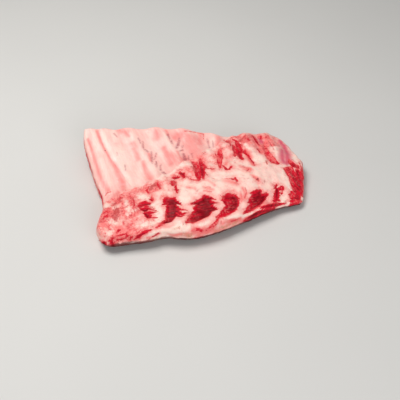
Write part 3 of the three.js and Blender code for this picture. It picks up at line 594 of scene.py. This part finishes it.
def noise(places, size, seed, octaves=1):
    """Smooth random values, about -1 to 1, over places in millimetres. One cell measures size."""
    total = 0.0
    for octave in range(octaves):
        lattice = np.random.default_rng(seed + octave).uniform(-1, 1, (NOISE_CELLS,) * 3)
        scaled = places * (2**octave / size)
        base = np.floor(scaled).astype(int)
        t = scaled - base
        t = t * t * (3 - 2 * t)
        for corner in np.ndindex(2, 2, 2):
            i, j, k = ((base + corner) % NOISE_CELLS).T
            share = np.prod(np.where(corner, t, 1 - t), axis=1)
            total = total + share * lattice[i, j, k] / 2**octave
    return total


def stroke_gaps(x, y, strokes):
    """For each piece of each stroke, the distance from its middle line and its half width there."""
    for stroke in strokes:
        places = np.reshape(stroke, (-1, 3))
        for (ax, ay, ar), (bx, by, br) in zip(places, places[1:]):
            dx, dy = bx - ax, by - ay
            t = np.clip(((x - ax) * dx + (y - ay) * dy) / (dx * dx + dy * dy), 0, 1)
            yield np.hypot(x - ax - dx * t, y - ay - dy * t), mix(ar, br, t)


def stroke_depth(x, y, strokes):
    """How far places lie inside the nearest stroke, in millimetres, and below 0 outside."""
    return np.max([width - gap for gap, width in stroke_gaps(x, y, strokes)], axis=0)


def glow(x, y, strokes):
    """Soft share, 0 to 1, that falls to a half at a stroke's edge."""
    return np.max([bell(gap, width * 1.2) for gap, width in stroke_gaps(x, y, strokes)], axis=0)


def line_distance(x, y, lines):
    """Distance to the nearest of some thin lines, in millimetres."""
    return -stroke_depth(x, y, [[(px, py, 0) for px, py in line] for line in lines])


def rib_sides(x, y):
    """Signed distance from each rib's middle line, and the share of its length from foot to tip."""
    sides, shares = [], []
    for foot_x, foot_y, tip_x, tip_y, bow in RIBS:
        dx, dy = tip_x - foot_x, tip_y - foot_y
        length = math.hypot(dx, dy)
        share = ((x - foot_x) * dx + (y - foot_y) * dy) / length**2
        side = ((x - foot_x) * dy - (y - foot_y) * dx) / length
        run = np.clip(share, 0, 1)
        sides.append(side - bow * 4 * run * (1 - run))
        shares.append(share)
    return np.array(sides), np.array(shares)


def underside_height(along, across):
    """Height of the underside, which lifts off at the near edge and under the rib flap."""
    near_lift = np.clip(1 - across / FLAT_START, 0, 1) ** NEAR_LIFT_POWER
    far_lift = np.clip((across - FLAT_END) / (1 - FLAT_END), 0, 1) ** FAR_LIFT_POWER
    return section(along, NEAR_UNDERSIDE_HEIGHT) * near_lift + section(along, FAR_UNDERSIDE_HEIGHT) * far_lift


def form_height(along, across, arc):
    """Height of the body, the arc step and the rib flap, before the fine relief."""
    rim, body, arc_top, flap_start, far = (section(along, table) for table in (
        NEAR_RIM_HEIGHT, BODY_HEIGHT, ARC_HEIGHT, FLAP_START_HEIGHT, FAR_RIM_HEIGHT))
    thick = mix(rim, body, smooth(across, 0, arc / 2)) + (arc_top - body) * smooth(across, arc / 2, arc)
    s = np.clip((across - arc) / np.maximum(1 - arc, FLAP_SHORTEST), 0, 1)
    flap = mix(flap_start, far, FLAP_SAG * s + (1 - FLAP_SAG) * s * s)
    return mix(thick, flap, smooth(across, arc - ARC_STEP_BEFORE, arc + ARC_STEP_AFTER))


class Fields:
    """What the slab is made of over its plan: depths and distances in millimetres, shares from 0 to 1."""

    def __init__(self, along, across):
        self.along, self.across = along, across
        self.x, self.y = plan(along, across)
        self.flat = np.column_stack((self.x, self.y, np.zeros_like(self.x)))
        self.sides, self.shares = rib_sides(self.x, self.y)
        self.rib = (bell(self.sides, RIB_HALF_WIDTH) * smooth(self.shares, *RIB_RISE)).sum(axis=0)
        self.arc = section(along, ARC_SHARE) + ARC_RAGGED * noise(self.flat, 7, 11, 2)
        self.flap = smooth(across, self.arc - 0.01, self.arc + 0.015)
        self.depths = np.array([stroke_depth(self.x, self.y, strokes) for *_, strokes in LEAN_PATCHES])
        self.lean = self.depths.max(axis=0)
        nearest = self.depths.argmax(axis=0)
        finish = np.array([patch[1:5] for patch in LEAN_PATCHES])
        self.dark, self.feather, self.turn, self.run = finish[nearest].T
        middles = np.array([np.concatenate(strokes)[::3].mean() for *_, strokes in LEAN_PATCHES])
        self.dark = np.clip(self.dark + DARKER_TO_RIGHT * (self.x - middles[nearest]), 0, 1)
        self.crumb = np.maximum.reduce((
            smooth(-self.x - 0.25 * self.y, *LEFT_CRUMBS) * (1 - self.flap),
            ARC_CRUMBS * bell(across - self.arc + 0.1, 0.12),
            FAR_CRUMBS * smooth(self.y - self.x * 0.1, *FAR_CRUMBS_Y) * smooth(self.x, *FAR_CRUMBS_X),
        ))
        self.slit = stroke_depth(self.x, self.y, SLITS)
        self.vein = line_distance(self.x, self.y, VEINS)
        self.rim_gap = np.minimum(
            np.minimum(across, 1 - across) * PLAN_DEPTH, np.minimum(along, 1 - along) * PLAN_LENGTH)

    def stain(self, spots):
        """How strongly a place lies in some soft spots."""
        share = sum(bell(np.hypot(self.x - cx, self.y - cy), width) for cx, cy, width in spots)
        return np.minimum(share, 1)

    def grain(self):
        """Place measured along the lean's fibres, shortened, and across them."""
        turn = np.radians(self.turn)
        run = self.x * np.cos(turn) + self.y * np.sin(turn)
        return np.column_stack((run * self.run, self.y * np.cos(turn) - self.x * np.sin(turn), self.x * 0))

    def streaks(self):
        """Place measured along the ribs, shortened, and across the fan of ribs."""
        last = len(RIBS) - 2
        left = np.clip((self.sides > 0).sum(axis=0) - 1, 0, last)
        pick = np.arange(len(left))
        near_side, far_side = self.sides[left, pick], self.sides[left + 1, pick]
        fan = left + near_side / np.maximum(near_side - far_side, 1)
        run = self.shares[left, pick] * RIB_LENGTH * GRAIN_RUN
        return np.column_stack((fan * RIB_SPACING, run, self.x * 0))

    def top(self):
        """Height of the top, relief included."""
        inside = smooth(self.rim_gap, *RIM_FADE)
        x, y = self.x, self.y
        swells = sum(height * bell(np.hypot(x - cx, y - cy), width) for cx, cy, width, height in SWELLS)
        waves = sum(height * np.sin(x * ax + y * ay + shift) for ax, ay, shift, height in WAVES)
        steady = section(self.along, ARC_SHARE)
        waves = waves * (1 - FLAP_CALM * smooth(self.across, steady, steady + CALM_REACH))
        recess = sum(-patch[0] * smooth(depth, *RECESS_EDGE) for patch, depth in zip(LEAN_PATCHES, self.depths))
        height = form_height(self.along, self.across, self.arc) + RIB_RELIEF * self.rib
        return height + (swells + recess) * inside + waves + self.fine_relief() * smooth(self.rim_gap, 0, 4)

    def fine_relief(self):
        """Fibres, crumbs of fat, folds, creases and slits, and the ragged lip of the membrane."""
        lean = smooth(self.lean, -1, 1)
        fatty = 1 - lean
        relief = FIBRE_RELIEF * noise(self.grain(), 1.5, 31, 2) * lean
        relief += CRUMB_RELIEF * noise(self.flat, 2.6, 41, 2) * self.crumb * fatty
        relief += FOLD_RELIEF * (1 - 2 * abs(noise(self.flat, 9, 51, 2))) * (1 - self.flap) * fatty
        relief += PIMPLE_RELIEF * noise(self.flat, 3, 61, 2)
        relief -= CREASE_DEPTH * bell(line_distance(self.x, self.y, CREASES), CREASE_WIDTH)
        relief -= SLIT_DEPTH * smooth(self.slit, -0.6, 0.8) * self.flap
        return relief + LIP_RELIEF * bell(self.across - self.arc, 0.012) * (1 + noise(self.flat, 5, 71))


def sawn(along, across):
    """How much an edge place belongs to the thin sawn flap."""
    right_end = smooth(along, *SAWN_END) * (1 - smooth(across, *FAR_SIDE))
    return smooth(across, *SAWN_START) * (1 - right_end)


def wall_inset(along, across, level):
    """How far the wall stands in from the outline, at level 0 on the underside to 1 on the top."""
    roundness = mix(NEAR_ROUND, SAWN_ROUND, sawn(along, across))
    middle = abs(2 * level - 1)
    inset = roundness * (1 - (1 - middle**WALL_SQUARENESS) ** (1 / WALL_SQUARENESS))
    layers = sum(height * np.sin(along * turn_along + level * turn_up)
                 for turn_along, turn_up, height in WALL_LAYERS)
    far_x = plan(along, np.ones_like(along))[0]
    ends = sum(RIB_END_RELIEF * bell(far_x - tip_x, RIB_END_HALF_WIDTH) for _, _, tip_x, _, _ in RIBS[1:])
    relief = layers * (1 - smooth(across, 0, NEAR_WALL_REACH)) - ends * (across > FAR_FACE)
    return inset + relief * (1 - middle * middle)


def inward(share, gap):
    return mix(gap, 1 - gap, share)


class Skin:
    """The slab's skin at shares of the length and depth, and at levels from 0 underneath to 1 on top."""

    def __init__(self, along, across, level):
        self.level = level
        flat = wall_inset(along, across, np.ones_like(level))
        inset = wall_inset(along, across, level)
        rim = Fields(inward(along, flat / PLAN_LENGTH), inward(across, flat / PLAN_DEPTH))
        self.under = underside_height(rim.along, rim.across)
        self.upper = rim.top()
        self.here = Fields(inward(along, inset / PLAN_LENGTH), inward(across, inset / PLAN_DEPTH))
        self.height = mix(self.under, self.upper, level)
        self.drop = self.upper - self.height
        self.places = np.column_stack((self.here.x, self.here.y, self.height))
        self.wall = smooth(self.drop, *WALL_DROP)
        self.roughen_walls()

    def roughen_walls(self):
        """Small lumps on the walls and the underside."""
        lumps = noise(self.places, 4, 81, 3) * WALL_LUMPS * self.wall
        outward = self.places[:, :2] - np.array(SLAB_MIDDLE)
        outward /= np.linalg.norm(outward, axis=1)[:, None]
        self.places[:, :2] += outward * lumps[:, None]

    def sides(self):
        """Shares of the near, far, left and right walls and of the underside."""
        here = self.here
        free = self.wall
        shares = []
        for gap in (here.across * PLAN_DEPTH, (1 - here.across) * PLAN_DEPTH,
                    here.along * PLAN_LENGTH, (1 - here.along) * PLAN_LENGTH):
            share = free * (1 - smooth(gap, WALL_REACH, WALL_REACH + WALL_FADE))
            shares.append(share)
            free = free - share
        return (*shares, free)

    def bone(self):
        """Depth inside the sawn rib ends, and below 0 outside them."""
        _, far, *_ = self.sides()
        thickness = self.upper - self.under
        rise = (self.level - BONE_LEVEL) * thickness / BONE_HALF_HEIGHT
        spans = np.hypot(self.here.sides[1:] / BONE_HALF_WIDTH, rise)
        return mix(-4, BONE_HALF_HEIGHT * (1 - spans.min(axis=0)), far)

    def attributes(self):
        """The vectors that the material reads at each place."""
        here = self.here
        near, far, left, right, under = self.sides()
        x, y, z = self.places.T
        broad = noise(self.places, 26, 91, 2)
        fine = noise(self.places, 9, 101, 2)
        layers = noise(np.column_stack((x * 0.05, y * 0.05, z)), 3.4, 111, 2)
        climb = z + here.across * PLAN_DEPTH
        front = 1 - smooth(here.across * PLAN_DEPTH, FRONT_REACH - FRONT_FADE, FRONT_REACH)
        wall_lean = (
            near * -3
            + far * (2.2 * layers + 1.6 * smooth(self.drop, 1.2, 3) - 0.9)
            + left * (1.5 * layers + 1.1 * fine + 1.3 * here.flap - 0.4)
            + right * (1.1 + 2.5 * layers)
            + under * (2.2 * broad + 1.2 * fine + 0.1)
        )
        strips = mix(-6, stroke_depth(x, climb, WALL_STRIPS), front)
        top_lean = np.maximum(here.lean - RIM_RUN * self.drop, strips)
        lean = mix(top_lean, np.maximum(wall_lean, top_lean), self.wall)
        on_wall = self.wall * (wall_lean > top_lean)
        front_dark = np.where(strips < top_lean, here.dark, section(here.along, STRIP_DARKNESS))
        dark = mix(front_dark, WALL_DARKNESS, on_wall)
        feather = mix(here.feather, WALL_FEATHER, on_wall)
        wall_grain = np.column_stack(((x + y) * GRAIN_RUN, z * 1.5, (x - y) * GRAIN_RUN))
        grain = mix(here.grain(), wall_grain, (on_wall > 0.5)[:, None])
        top = 1 - self.wall
        # Cream places on the top are partly painted highlights; those on the near wall are paler fat
        pink, cream_and_highlight, granules, veil = (glow(x, y, table) * top for table in (PINKS, CREAMS_AND_HIGHLIGHTS, GRANULES, VEILS))
        pink = np.maximum(pink, glow(x, climb, WALL_PINKS) * front)
        cream_and_highlight = np.maximum(cream_and_highlight, glow(x, climb, WALL_CREAMS) * front)
        # Painted shade on the foot of the near wall, where the slab meets the floor
        foot_level = section(here.along, FOOT_SHADE_LEVELS)
        foot = 1 - smooth(self.level, foot_level - FOOT_SHADE_FADE, foot_level)
        foot *= (1 - smooth(here.across, 0.02, 0.16)) * smooth(here.along, 0, 0.03)
        return {
            "meat": (lean, dark, feather),
            "grain": grain.T,
            "streak": here.streaks().T,
            "zones": (here.flap * top, np.minimum(here.rib, 1), here.crumb * mix(0.6, 1, top)),
            "tints": (pink, cream_and_highlight, granules),
            "stains": (veil, glow(x, climb, WALL_TANS) * front, here.stain(SPOTS) * top),
            "lines": (mix(-4, here.slit, top), here.vein + self.drop, self.bone()),
            "walls": (near, foot, np.zeros_like(near)),
        }


def raw_skin():
    """A grid for the top, twelve rings down the walls and a coarser grid below, as an open bmesh."""
    mesh = bmesh.new()
    along, across, level = (mesh.verts.layers.float.new(name) for name in ("along", "across", "level"))
    rims = []
    for share, steps_along, steps_across in ((1, STEPS_ALONG, STEPS_ACROSS),
                                             (0, STEPS_ALONG // COARSE, STEPS_ACROSS // COARSE)):
        grid = bmesh.ops.create_grid(mesh, x_segments=steps_along, y_segments=steps_across, size=0.5)
        for vert in grid["verts"]:
            vert[along], vert[across], vert[level] = vert.co.x + 0.5, vert.co.y + 0.5, share
        edges = {edge for vert in grid["verts"] for edge in vert.link_edges}
        rims.append([edge for edge in edges if edge.is_boundary])
    upper, lower = rims
    for share in WALL_LEVELS:
        made = bmesh.ops.extrude_edge_only(mesh, edges=upper)["geom"]
        for vert in (item for item in made if isinstance(item, bmesh.types.BMVert)):
            vert[level] = share
        upper = [item for item in made if isinstance(item, bmesh.types.BMEdge) and item.is_boundary]
    return mesh, upper + lower, (along, across, level)


def fit_to_box(places):
    """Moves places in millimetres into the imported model's box, in metres."""
    low, high = (np.array(corner) for corner in CAD_BOX)
    first, last = places.min(axis=0), places.max(axis=0)
    return low + (places - first) / (last - first) * (high - low)


def slab_mesh():
    mesh, rims, layers = raw_skin()
    mesh.verts.ensure_lookup_table()
    along, across, level = (np.array([vert[layer] for vert in mesh.verts]) for layer in layers)
    skin = Skin(along, across, level)
    for vert, place in zip(mesh.verts, fit_to_box(skin.places)):
        vert.co = place
    bmesh.ops.bridge_loops(mesh, edges=rims)
    bmesh.ops.recalc_face_normals(mesh, faces=mesh.faces)
    for layer in layers:
        mesh.verts.layers.float.remove(mesh.verts.layers.float[0])
    data = bpy.data.meshes.new("rib_slab_skin")
    mesh.to_mesh(data)
    mesh.free()
    data.shade_smooth()
    for name, columns in skin.attributes().items():
        attribute = data.attributes.new(name, "FLOAT_VECTOR", "POINT")
        attribute.data.foreach_set("vector", np.column_stack(columns).astype(np.float32).ravel())
    return data


class Wire:
    """A node's output. Each operator adds a Math node."""

    def __init__(self, graph, socket):
        self.graph, self.socket = graph, socket

    def maths(self, operation, first, second=None):
        inputs = {0: first} if second is None else {0: first, 1: second}
        return self.graph.node("ShaderNodeMath", {"operation": operation}, inputs)

    def __add__(self, other):
        return self.maths("ADD", self, other)

    def __sub__(self, other):
        return self.maths("SUBTRACT", self, other)

    def __rsub__(self, other):
        return self.maths("SUBTRACT", other, self)

    def __mul__(self, other):
        return self.maths("MULTIPLY", self, other)

    def __abs__(self):
        return self.maths("ABSOLUTE", self)

    def most(self, other):
        return self.maths("MAXIMUM", self, other)

    def least(self, other):
        return self.maths("MINIMUM", self, other)

    __radd__ = __add__
    __rmul__ = __mul__


class Graph:
    """A material's nodes."""

    def __init__(self, material):
        material.use_nodes = True
        self.tree = material.node_tree
        self.tree.nodes.clear()

    def node(self, kind, settings=None, inputs=None, output=0):
        made = self.tree.nodes.new(kind)
        for name, value in (settings or {}).items():
            setattr(made, name, value)
        for key, value in (inputs or {}).items():
            if isinstance(value, Wire):
                self.tree.links.new(value.socket, made.inputs[key])
            else:
                made.inputs[key].default_value = value
        return Wire(self, made.outputs[output]) if made.outputs else None

    def read(self, name):
        """The three numbers of one of the mesh's vectors."""
        vector = self.vector(name)
        return [self.node("ShaderNodeSeparateXYZ", None, {0: vector}, axis) for axis in range(3)]

    def vector(self, name):
        return self.node("ShaderNodeAttribute", {"attribute_name": name}, None, "Vector")

    def noise(self, place, cell, detail=2, roughness=0.5):
        """Noise from 0 to 1 in cells of a size given in the place's own unit."""
        return self.node("ShaderNodeTexNoise", None, {
            "Vector": place, "Scale": 1 / cell, "Detail": detail, "Roughness": roughness})

    def smooth(self, value, low, high):
        return self.node("ShaderNodeMapRange", {"interpolation_type": "SMOOTHSTEP"}, {0: value, 1: low, 2: high})

    def mix(self, share, first, second):
        first, second = (value if isinstance(value, Wire) else (*value, 1) for value in (first, second))
        return self.node("ShaderNodeMix", {"data_type": "RGBA"}, {0: share, 6: first, 7: second}, 2)


def meat_material(looks):
    material = bpy.data.materials.new("raw_rib_meat")
    g = Graph(material)
    lean_depth, dark, feather = g.read("meat")
    flap, rib, crumb = g.read("zones")
    pink, cream_and_highlight, granules = g.read("tints")
    veil, tan, spot = g.read("stains")
    slit, vein, bone_depth = g.read("lines")
    near, foot, _ = g.read("walls")
    grain, streak = g.vector("grain"), g.vector("streak")
    place = g.node("ShaderNodeTexCoord", None, None, "Object")

    # Noise in cells of metres, then of millimetres across the fibres and across the ribs
    broad = g.noise(place, 0.022, 3)
    middle = g.noise(place, 0.006, 3)
    fine = g.noise(place, 0.0016, 3, 0.6)
    fibre = g.noise(grain, 1.3, 3, 0.65)
    thread = g.noise(grain, 0.45, 2)
    strand = g.noise(grain, 0.95, 2, 0.6)
    layer = g.noise(grain, 3.4, 2)
    soft_streak = g.noise(streak, 7, 3, 0.6)
    thin_streak = g.noise(streak, 1.6, 2)

    # Lean shows where the ragged depth is above zero, feathered along its fibres
    ragged = lean_depth + (fibre - 0.5) * feather * 7 + (fine - 0.5) * 1.4
    lean = g.smooth(ragged, -0.45, 0.55)
    near_lean = g.smooth(lean_depth * (1 + near * 1.5), -6.5, 0.5) * (1 - lean)

    # Fat, paler in the cream places, which are partly painted highlights
    pinkness = (0.18 + crumb * 0.42 + pink * (0.5 - crumb * 0.25) - cream_and_highlight * 0.5 + near_lean * 0.4 + near * 0.18
                + (broad - 0.5) * 0.5 + (middle - 0.5) * (0.6 + crumb * 0.5) + (fine - 0.5) * crumb * 1.2
                + (layer - 0.5) * near * 0.9)
    fat = g.mix(g.smooth(pinkness, -0.05, 1.1), looks.fat, looks.pink_fat)
    seams = 1 - g.smooth(abs(g.noise(place, 0.013, 3) - 0.5), 0.0, 0.022)
    fat = g.mix(seams * g.smooth(middle, 0.35, 0.6) * 0.3, fat, looks.pink_fat)
    cells = g.node("ShaderNodeTexVoronoi", {"feature": "DISTANCE_TO_EDGE"}, {
        "Vector": g.node("ShaderNodeVectorMath", {"operation": "ADD"}, {
            0: place, 1: g.node("ShaderNodeVectorMath", {"operation": "SCALE"}, {
                0: g.node("ShaderNodeTexNoise", None, {"Vector": place, "Scale": 280.0}, 1), "Scale": 0.004})}),
        "Scale": 310.0})
    capillary = (1 - g.smooth(cells, 0.0, 0.2)) * g.smooth(middle, 0.4, 0.56)
    fat = g.mix(capillary * (crumb * 0.42 + near_lean * 0.3).least(1.0), fat, looks.lean)
    clots = g.smooth(fine + (middle - 0.5) * 1.6, 0.58, 0.8) * crumb
    fat = g.mix(clots * 0.42, fat, looks.lean)
    grit = g.smooth(granules + (middle - 0.5) * 2.4 + (fine - 0.5) * 2, 0.35, 1.05)
    fat = g.mix(grit * 0.8, fat, looks.granules)
    fat = g.mix(grit * g.smooth(fine, 0.54, 0.72) * 0.45, fat, looks.dark_lean)

    # Membrane over the ribs, paler in the cream places, which are partly painted highlights along the rib crests
    cover = (0.61 + cream_and_highlight * 0.2 - pink * 0.48 + rib * 0.06
             + (soft_streak - 0.5) * 0.45 + (thin_streak - 0.5) * 0.4 + (broad - 0.5) * 0.35)
    membrane = g.mix(g.smooth(cover, -0.1, 1.1), looks.pink_membrane, looks.membrane)
    colour = g.mix(flap, fat, membrane)

    slit_share = g.smooth(slit + (fine - 0.5) * 1.6 + (middle - 0.5) * 1.8, -1.1, 2.3) * flap
    colour = g.mix(slit_share * g.smooth(fine, 0.1, 0.6) * 0.95, colour, looks.slit)
    colour = g.mix(veil * g.smooth(middle + veil * 0.4, 0.3, 0.7) * 0.9, colour, looks.veil)
    colour = g.mix(tan * g.smooth(fine + (middle - 0.5), 0.3, 0.7) * 0.8, colour, looks.tan)
    drawn = (1 - g.smooth(vein + (fine - 0.5) * 0.8, 0.1, 1.1)) * g.smooth(middle, 0.3, 0.55)
    colour = g.mix(drawn * (0.6 - flap * 0.4), colour, looks.lean)
    colour = g.mix(g.smooth(spot + (fine - 0.5) * 0.8, 0.35, 0.95) * 0.85, colour, looks.dark_lean)

    # Lean, darker where deep, with pale threads of fat along its fibres
    deep = (g.smooth(lean_depth, 0.0, 3.2) * dark * 1.1
            + (fibre - 0.5) * 1.7 + (fine - 0.5) * 0.6 + (layer - 0.5) * 1.3)
    flesh = g.mix(g.smooth(deep, 0.05, 0.95), looks.lean, looks.dark_lean)
    marbling = g.smooth(thread + (fibre - 0.5) * 0.6, 0.66, 0.78) * (1.05 - dark)
    patchy = fine + (middle - 0.5) * 0.9 + (fibre - 0.5) * 0.6 - dark * 0.2
    mottles = g.smooth(patchy, 0.4, 0.6) * (0.95 - dark).most(0.0)
    flesh = g.mix(g.smooth(strand, 0.49, 0.63) * (0.9 - dark * 0.5), flesh, looks.lean)
    flesh = g.mix((marbling * 0.75).most(mottles * 0.95), flesh, looks.pink_fat)
    colour = g.mix(lean, colour, flesh)

    # Sawn bone: pale ring, darker marrow
    bone = g.smooth(bone_depth + (fine - 0.5) * 0.6, -0.1, 0.25)
    marrow = g.smooth(bone_depth + (fine - 0.5) * 1.6, 0.7, 1.6)
    colour = g.mix(bone, colour, g.mix(marrow * 0.8, looks.bone, looks.marrow))

    # Painted shade darkens the foot of the near wall, in streaks
    shade_streaks = g.smooth(foot * 1.05 + (layer - 0.5) * 1.9 + (middle - 0.5) * 0.6, 0.3, 0.75)
    colour = g.mix(shade_streaks * foot * 0.93, colour, looks.painted_shade)

    wet = g.smooth(middle + lean * 0.4, 0.35, 0.8)
    height = (fibre * lean * 0.9 + fine * 0.35 * (1 - flap * 0.5) + middle * 0.5 * (1 - flap)
              + g.smooth(cells, 0.0, 0.3) * crumb * 0.5 * (1 - lean) + thin_streak * flap * 0.15)
    bump = g.node("ShaderNodeBump", None, {"Strength": 0.7, "Distance": looks.grain_height, "Height": height})
    shader = g.node("ShaderNodeBsdfPrincipled", None, {
        "Base Color": colour,
        "Roughness": looks.roughness + (middle - 0.5) * 0.25,
        "Coat Weight": wet * (1 - lean) * looks.wetness,
        "Normal": bump,
        "Coat Roughness": 0.16,
        "Specular IOR Level": 0.12,
        "Subsurface Weight": 0.16,
        "Subsurface Radius": (1.0, 0.36, 0.26),
        "Subsurface Scale": 0.0035,
    })
    g.node("ShaderNodeOutputMaterial", None, {"Surface": shader})
    return material


class SLAB_OT_skin(bpy.types.Operator):
    """Make the slab's skin of fat, lean, membrane and bone"""

    bl_idname = "belly_ribs.skin"
    bl_label = "Skin the slab"

    def execute(self, context):
        slab = bpy.data.objects.new("rib_slab_skin", slab_mesh())
        slab.data.materials.append(meat_material(context.scene.slab_looks))
        context.scene.collection.objects.link(slab)
        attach(slab, "root")
        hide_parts("rib_slab")
        return {"FINISHED"}


def area_light(name, place, size, power, tint):
    light = bpy.data.lights.new(name, "AREA")
    light.shape, light.size, light.energy, light.color = "DISK", size, power, tint
    lamp = bpy.data.objects.new(name, light)
    lamp.location = place
    lamp.rotation_euler = (Vector(AIM) - Vector(place)).to_track_quat("-Z", "Y").to_euler()
    bpy.context.scene.collection.objects.link(lamp)


def floor_material(paint):
    material = bpy.data.materials.new("pale_floor")
    g = Graph(material)
    place = g.node("ShaderNodeTexCoord", None, None, "Object")
    tone = g.noise(place, 0.2, 2) * 0.06 + 0.97
    shade = g.node("ShaderNodeVectorMath", {"operation": "SCALE"}, {0: paint, "Scale": tone})
    shader = g.node("ShaderNodeBsdfPrincipled", None, {"Base Color": shade, "Roughness": 0.6})
    g.node("ShaderNodeOutputMaterial", None, {"Surface": shader})
    return material


class SLAB_OT_stage(bpy.types.Operator):
    """Make the floor, the lights and the camera"""

    bl_idname = "belly_ribs.stage"
    bl_label = "Light the slab"

    def execute(self, context):
        looks, scene = context.scene.stage_looks, context.scene
        mesh = bmesh.new()
        bmesh.ops.create_circle(mesh, cap_ends=True, segments=64, radius=FLOOR_RADIUS)
        data = bpy.data.meshes.new("floor")
        mesh.to_mesh(data)
        mesh.free()
        data.materials.append(floor_material(looks.floor))
        floor = bpy.data.objects.new("floor", data)
        scene.collection.objects.link(floor)
        area_light("key", KEY_PLACE, KEY_SIZE, looks.key_power, KEY_TINT)
        area_light("fill", FILL_PLACE, FILL_SIZE, looks.fill_power, FILL_TINT)
        scene.world = bpy.data.worlds.new("surround")
        scene.world.use_nodes = True
        background = scene.world.node_tree.nodes["Background"]
        background.inputs["Color"].default_value = (1, 1, 1, 1)
        background.inputs["Strength"].default_value = looks.surround
        scene.view_settings.view_transform = "Standard"

        camera = bpy.data.objects.new("camera", bpy.data.cameras.new("camera"))
        camera.data.lens = looks.lens
        rise = looks.camera_elevation
        offset = Vector((0, -math.cos(rise), math.sin(rise))) * looks.camera_distance
        camera.location = Vector(AIM) + offset
        camera.rotation_euler = (math.pi / 2 - rise, 0, 0)
        scene.collection.objects.link(camera)
        scene.camera = camera
        return {"FINISHED"}


class SLAB_PT_panel(bpy.types.Panel):
    """Lists the steps and what can be changed"""

    bl_label = "Belly ribs"
    bl_idname = "SLAB_PT_panel"
    bl_space_type = "VIEW_3D"
    bl_region_type = "UI"
    bl_category = "Belly ribs"

    def draw(self, context):
        scene = context.scene
        for operator, looks in ((SLAB_OT_skin, scene.slab_looks), (SLAB_OT_stage, scene.stage_looks)):
            box = self.layout.box()
            for name in looks.__annotations__:
                box.prop(looks, name)
            box.operator(operator.bl_idname)


CLASSES = (SlabLooks, StageLooks, SLAB_OT_skin, SLAB_OT_stage, SLAB_PT_panel)


def register():
    for made in CLASSES:
        bpy.utils.register_class(made)
    bpy.types.Scene.slab_looks = bpy.props.PointerProperty(type=SlabLooks)
    bpy.types.Scene.stage_looks = bpy.props.PointerProperty(type=StageLooks)


def unregister():
    del bpy.types.Scene.slab_looks
    del bpy.types.Scene.stage_looks
    for made in reversed(CLASSES):
        bpy.utils.unregister_class(made)


def main():
    register()
    bpy.ops.belly_ribs.skin()
    bpy.ops.belly_ribs.stage()


if __name__ == "__main__":
    main()
